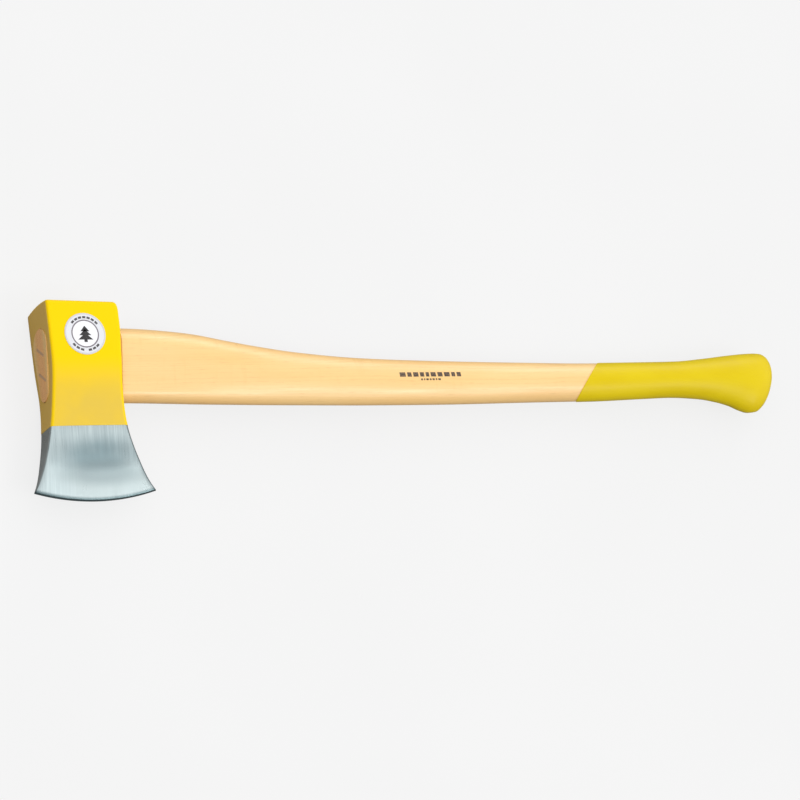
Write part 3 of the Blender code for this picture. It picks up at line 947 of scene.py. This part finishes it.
def brushed_steel():
    """Ground steel, with painted shade on its bevel and where it curves to the heel, and paler on the end
    faces.
    """
    material, shader, tree, place = new_material("brushed_steel")
    lines = noise(tree, scaled(tree, place, (1.0, 0.02, 0.1)), 900, 3.0, 0.65)
    clouds = noise(tree, place, 22, 3.0)
    colour = ground_steel(tree, place, lines, clouds)
    sideways = normal_x(tree)
    # Painted shade where the steel turns towards the heel.
    colour = mixed(tree, fit(tree, sideways, 0.06, 0.35), colour, (0.22, 0.27, 0.285))
    endward = fit(tree, maths(tree, "ABSOLUTE", sideways), 0.75, 0.92)
    forged = mixed(tree, fit(tree, clouds, 0.3, 0.7), (0.50, 0.545, 0.54), (0.60, 0.645, 0.64))
    colour = mixed(tree, endward, colour, forged)
    # Painted shade on the bevel, which hides the lamps' highlight there and stands in for the shade along the
    # edge.
    colour = mixed(tree, near_edge(tree, place, *BEVEL_SHADE_BAND), colour, (0.12, 0.165, 0.175))
    rough = fit(tree, lines, 0.3, 0.7, 0.28, 0.38)
    rough = maths(tree, "ADD", rough, fit(tree, clouds, 0.3, 0.7, -0.03, 0.04))
    set_shader(tree, shader, Base_Color=colour, Metallic=1.0, Roughness=rough)
    bumped(tree, shader, lines, 0.000008)
    return material


def head_enamel():
    """Yellow enamel, with a painted sheen that pales it towards the paint line and painted shade on the end
    faces.
    """
    material, shader, tree, place = new_material("head_enamel")
    sideways = maths(tree, "ABSOLUTE", normal_x(tree))
    peel = noise(tree, place, 520, 2.0)
    clouds = noise(tree, place, 35, 3.0)
    # Painted sheen: towards the paint line and away from the end edges, the yellow is paled and greyed as the
    # lamps' reflection would pale it.
    down = fit(tree, split(tree, place)[1], *SHEEN_GAIN)
    painted_sheen = maths(tree, "MULTIPLY", down, fit(tree, sideways, 0.04, 0.25, 1.0, 0.1))
    painted_sheen = maths(tree, "MULTIPLY", painted_sheen, fit(tree, clouds, 0.3, 0.7, 0.75, 1.0))
    colour = mixed(tree, painted_sheen, (0.97, 0.652, 0.001), (0.765, 0.535, 0.072))
    # Painted shade: the end faces are darker and browner than the cheek.
    endward = fit(tree, sideways, 0.80, 0.97)
    colour = mixed(tree, endward, colour, (0.75, 0.485, 0.115))
    rough = fit(tree, clouds, 0.3, 0.7, 0.36, 0.45)
    set_shader(tree, shader, Base_Color=colour, Roughness=rough, Specular_IOR_Level=0.08)
    bumped(tree, shader, peel, 0.00002)
    return material


def dip_enamel():
    """The glossier, cooler yellow of the dipped grip."""
    material, shader, tree, place = new_material("dip_enamel")
    clouds = noise(tree, scaled(tree, place, (0.6, 1.0, 1.0)), 40, 3.0)
    runs = noise(tree, scaled(tree, place, (0.25, 1.0, 1.0)), 130, 2.0)
    colour = mixed(tree, fit(tree, clouds, 0.3, 0.7), (0.715, 0.53, 0.002), (0.75, 0.57, 0.003))
    rough = fit(tree, clouds, 0.3, 0.7, 0.32, 0.40)
    set_shader(tree, shader, Base_Color=colour, Roughness=rough, Specular_IOR_Level=0.18)
    bumped(tree, shader, runs, 0.00010)
    return material


def growth_rings(tree, place, heart, rings_per_metre):
    """How dark a growth ring is, from 0 to 1. The rings run along x, round a heart outside the wood."""
    warp = noise(tree, scaled(tree, place, (3.0, 12.0, 12.0)), 1.0, 2.0)
    radius = distance_from(tree, place, heart, (0.0, 1.0, 1.0))
    radius = maths(tree, "ADD", radius, fit(tree, warp, 0.0, 1.0, 0.0, RING_WARP, smooth=False))
    count = maths(tree, "MULTIPLY", radius, rings_per_metre)
    inputs = {"W": count, "Scale": 1.0, "Detail": 2.0, "Roughness": 0.6}
    return add_node(tree, "ShaderNodeTexNoise", inputs, noise_dimensions="1D").outputs["Fac"]


def ash_sides(tree, place, ring, fibres, dots):
    """The colour along the handle: soft changes of tone, rings, fibres, pores and a little cross figure."""
    tone = noise(tree, scaled(tree, place, (5.0, 30.0, 30.0)), 1.0, 3.0)
    figure = noise(tree, scaled(tree, place, (170.0, 22.0, 50.0)), 1.0, 2.0)
    patches = noise(tree, scaled(tree, place, (9.0, 34.0, 34.0)), 1.0, 1.0)
    colour = mixed(tree, fit(tree, tone, 0.3, 0.7), (0.925, 0.56, 0.198), (0.955, 0.635, 0.262))
    colour = mixed(tree, fit(tree, ring, 0.45, 0.75, 0.0, 0.17), colour, (0.84, 0.48, 0.16))
    colour = mixed(tree, fit(tree, fibres, 0.40, 0.70, 0.0, 0.11), colour, (0.80, 0.46, 0.17))
    colour = mixed(tree, dots, colour, (0.60, 0.34, 0.12))
    marks = fit(tree, figure, 0.55, 0.78)
    marks = maths(tree, "MULTIPLY", marks, fit(tree, patches, 0.50, 0.68, 0.0, 0.30))
    return mixed(tree, marks, colour, (0.80, 0.46, 0.15))


def ash_end(tree, place, ring):
    """The colour of the tongue's sawn end, which is paler towards the cheeks."""
    outer = fit(tree, maths(tree, "ABSOLUTE", split(tree, place)[2]), *END_PALE_REACH)
    colour = mixed(tree, outer, (1.0, 0.545, 0.18), (1.0, 0.65, 0.245))
    return mixed(tree, fit(tree, ring, 0.35, 0.7, 0.0, 0.22), colour, (0.62, 0.34, 0.14))


def ash_wood():
    """Pale ash along the handle, with warmer end grain where it is sawn across."""
    material, shader, tree, place = new_material("ash_wood")
    ring = growth_rings(tree, place, ASH_HEART, 620)
    fibres = noise(tree, scaled(tree, place, (11.0, 620.0, 620.0)), 1.0, 3.0, 0.6)
    pores = noise(tree, scaled(tree, place, (90.0, 2100.0, 2100.0)), 1.0, 1.0)
    dots = maths(tree, "MULTIPLY", fit(tree, ring, 0.42, 0.62), fit(tree, pores, 0.55, 0.68, 0.0, 0.30))
    sides = ash_sides(tree, place, ring, fibres, dots)
    sawn = fit(tree, maths(tree, "ABSOLUTE", normal_x(tree)), 0.85, 0.97)
    colour = mixed(tree, sawn, sides, ash_end(tree, place, ring))
    rough = fit(tree, fibres, 0.3, 0.7, 0.30, 0.42)
    set_shader(tree, shader, Base_Color=colour, Roughness=rough, Specular_IOR_Level=0.8)
    height = maths(tree, "SUBTRACT", fit(tree, fibres, 0.3, 0.7, 0.0, 0.3), dots)
    bumped(tree, shader, height, 0.00006)
    return material


def red_wood():
    """The harder, redder wood of the wedge."""
    material, shader, tree, place = new_material("red_wood")
    ring = growth_rings(tree, place, RED_WOOD_HEART, 900)
    pores = noise(tree, scaled(tree, place, (300.0, 1500.0, 1500.0)), 1.0, 2.0)
    colour = mixed(tree, fit(tree, ring, 0.3, 0.7), (1.0, 0.56, 0.23), (0.95, 0.50, 0.20))
    colour = mixed(tree, fit(tree, pores, 0.55, 0.7, 0.0, 0.6), colour, (0.30, 0.11, 0.05))
    set_shader(tree, shader, Base_Color=colour, Roughness=fit(tree, pores, 0.3, 0.7, 0.5, 0.7))
    bumped(tree, shader, pores, 0.00008)
    return material


def wedge_steel():
    """Dull rolled steel with a darker skin."""
    material, shader, tree, place = new_material("wedge_steel")
    grain = noise(tree, place, 900, 3.0)
    colour = mixed(tree, fit(tree, grain, 0.3, 0.7), (0.66, 0.40, 0.22), (0.80, 0.54, 0.33))
    set_shader(tree, shader, Base_Color=colour, Metallic=0.4, Roughness=fit(tree, grain, 0.3, 0.7, 0.4, 0.6))
    bumped(tree, shader, grain, 0.00005)
    return material


def from_label_middle(tree, place):
    """How far a point is from the label's middle, in metres."""
    return distance_from(tree, place, (LABEL_CENTRE[0] * MM, LABEL_CENTRE[1] * MM, 0.0))


def label_paper():
    """Coated paper, white in the middle, with a silver-grey band and a darker rim."""
    material, shader, tree, place = new_material("label_paper")
    radius = from_label_middle(tree, place)
    fibres = noise(tree, place, 1200, 2.0)
    band, rim = [
        fit(tree, radius, (limit - LABEL_TONE_BLUR) * MM, (limit + LABEL_TONE_BLUR) * MM)
        for limit in LABEL_TONE_RADII
    ]
    colour = mixed(tree, band, (0.90, 0.90, 0.93), (0.76, 0.77, 0.81))
    colour = mixed(tree, rim, colour, (0.62, 0.63, 0.68))
    colour = mixed(tree, fit(tree, fibres, 0.3, 0.7, 0.0, 0.15), colour, (0.60, 0.61, 0.64))
    set_shader(tree, shader, Base_Color=colour, Roughness=fit(tree, fibres, 0.3, 0.7, 0.32, 0.42))
    bumped(tree, shader, fibres, 0.00001)
    return material


def label_ink():
    """Black ink in the middle of the label, greyer on the ring and the blocks round it."""
    material, shader, tree, place = new_material("label_ink")
    cover = noise(tree, place, 900, 3.0, 0.6)
    radius = from_label_middle(tree, place)
    around = mixed(tree, fit(tree, radius, *LABEL_INK_DARK), (0.20, 0.175, 0.20), (0.075, 0.07, 0.075))
    colour = mixed(tree, fit(tree, radius, *LABEL_INK_GREY), (0.016, 0.015, 0.016), around)
    colour = mixed(tree, fit(tree, cover, 0.5, 0.9, 0.0, 0.4), colour, (0.25, 0.24, 0.25))
    set_shader(tree, shader, Base_Color=colour, Roughness=fit(tree, cover, 0.3, 0.7, 0.4, 0.55))
    bumped(tree, shader, cover, 0.00001)
    return material


def handle_ink():
    """Brown-black ink that covers the wood unevenly."""
    material, shader, tree, place = new_material("handle_ink")
    cover = noise(tree, place, 700, 3.0, 0.6)
    colour = mixed(tree, fit(tree, cover, 0.45, 0.8), (0.07, 0.045, 0.03), (0.30, 0.20, 0.11))
    set_shader(tree, shader, Base_Color=colour, Roughness=fit(tree, cover, 0.3, 0.7, 0.4, 0.55))
    bumped(tree, shader, cover, 0.00001)
    return material


def floor_paper():
    """Pale paper with a glow that only the camera sees. It lights the axe as grey paper would."""
    material, shader, tree, place = new_material("floor_paper")
    tone = noise(tree, place, 3.0, 2.0)
    seen = add_node(tree, "ShaderNodeLightPath").outputs["Is Camera Ray"]
    pale = fit(tree, tone, 0.3, 0.7, FLOOR_PALE, FLOOR_PALE + 0.01)
    level = mixed_values(tree, seen, FLOOR_GREY, pale)
    grey = add_node(tree, "ShaderNodeCombineColor", {0: level, 1: level, 2: level}).outputs[0]
    glow = maths(tree, "MULTIPLY", seen, FLOOR_GLOW)
    set_shader(tree, shader, Base_Color=grey, Roughness=1.0, Specular_IOR_Level=0.0)
    set_shader(tree, shader, Emission_Color=(1.0, 1.0, 1.0, 1.0), Emission_Strength=glow)
    return material


# Stage ------------------------------------------------------------------------------------------------


def floor(height):
    """A wide floor at a height in metres."""
    half = FLOOR_HALF_SIZE
    corners = [(-half, -half), (half, -half), (half, half), (-half, half)]
    piece = mesh_object("floor", [(x, y, height / MM) for x, y in corners], [[0, 1, 2, 3]])
    piece.data.materials.append(floor_paper())


def sun(name, direction, width_degrees, strength):
    """A far soft lamp in a direction from the axe."""
    data = bpy.data.lights.new(name, "SUN")
    data.angle = math.radians(width_degrees)
    data.energy = strength
    light = bpy.data.objects.new(name, data)
    bpy.context.scene.collection.objects.link(light)
    light.rotation_euler = Vector(direction).to_track_quat("Z", "Y").to_euler()


def toward(tree, direction, full_degrees, none_degrees):
    """1 round a direction of the sky, falling to 0 further away."""
    sky = add_node(tree, "ShaderNodeTexCoord").outputs["Generated"]
    aim = tuple(Vector(direction).normalized())
    near = vector_maths(tree, "DOT_PRODUCT", sky, aim, "Value")
    return fit(tree, near, math.cos(math.radians(none_degrees)), math.cos(math.radians(full_degrees)))


def studio():
    """A wide white tent, dark low on the left and dimmer in one small part overhead, with two soft lamps."""
    for lamp in LAMPS:
        sun(*lamp)
    world = bpy.data.worlds.new("room")
    bpy.context.scene.world = world
    world.use_nodes = True
    tree = world.node_tree
    tent = toward(tree, *TENT)
    opening = toward(tree, *TENT_OPENING)
    kept = maths(tree, "SUBTRACT", 1.0, maths(tree, "MULTIPLY", opening, OPENING_DEPTH))
    light = maths(tree, "MULTIPLY", maths(tree, "MULTIPLY", tent, kept), TENT_GLOW)
    light = maths(tree, "ADD", light, ROOM_GLOW)
    seen = add_node(tree, "ShaderNodeLightPath").outputs["Is Camera Ray"]
    strength = mixed_values(tree, seen, light, BACKDROP_GLOW)
    tree.links.new(strength, tree.nodes["Background"].inputs["Strength"])
    tree.nodes["Background"].inputs["Color"].default_value = (1.0, 1.0, 1.0, 1.0)
    bpy.context.scene.view_settings.view_transform = "Standard"


def camera():
    """The camera at the photograph's viewing angle."""
    data = bpy.data.cameras.new("camera")
    data.lens = CAMERA_LENS
    data.sensor_width = CAMERA_SENSOR
    eye = bpy.data.objects.new("camera", data)
    bpy.context.scene.collection.objects.link(eye)
    backward = [-part for part in CAMERA_FORWARD]
    turn = Matrix((CAMERA_RIGHT, CAMERA_UP, backward)).transposed()
    eye.matrix_world = Matrix.Translation(CAMERA_PLACE) @ turn.to_4x4()
    bpy.context.scene.camera = eye


def build_head():
    """The steel head and its coat, with the eye cut through both."""
    eye = eye_cutter()
    steel_head(eye)
    head_coat(eye)
    discard(eye)


def build_handle():
    """The handle, the wedges in its tongue, and the dipped coat on its grip."""
    kerf = prism("kerf", wedge_outline(KERF_END, KERF_GAP))
    slots = [steel_wedge(name + "_slot", depth, SLOT_GAP) for name, depth in STEEL_WEDGE_DEPTHS.items()]
    wooden_handle(kerf, slots)
    wooden_wedge(slots)
    discard(kerf, *slots)
    steel = wedge_steel()
    for name, depth in STEEL_WEDGE_DEPTHS.items():
        finish_piece(steel_wedge(name + "_bar", depth, 0.0), steel, "wedge_steel", PLAIN_SHARP, name)
    grip_coat()


def main():
    cad_box = [list(corner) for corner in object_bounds()]
    build_head()
    build_handle()
    label_disc()
    label_print()
    handle_print()
    floor(cad_box[0][2])
    studio()
    camera()


main()
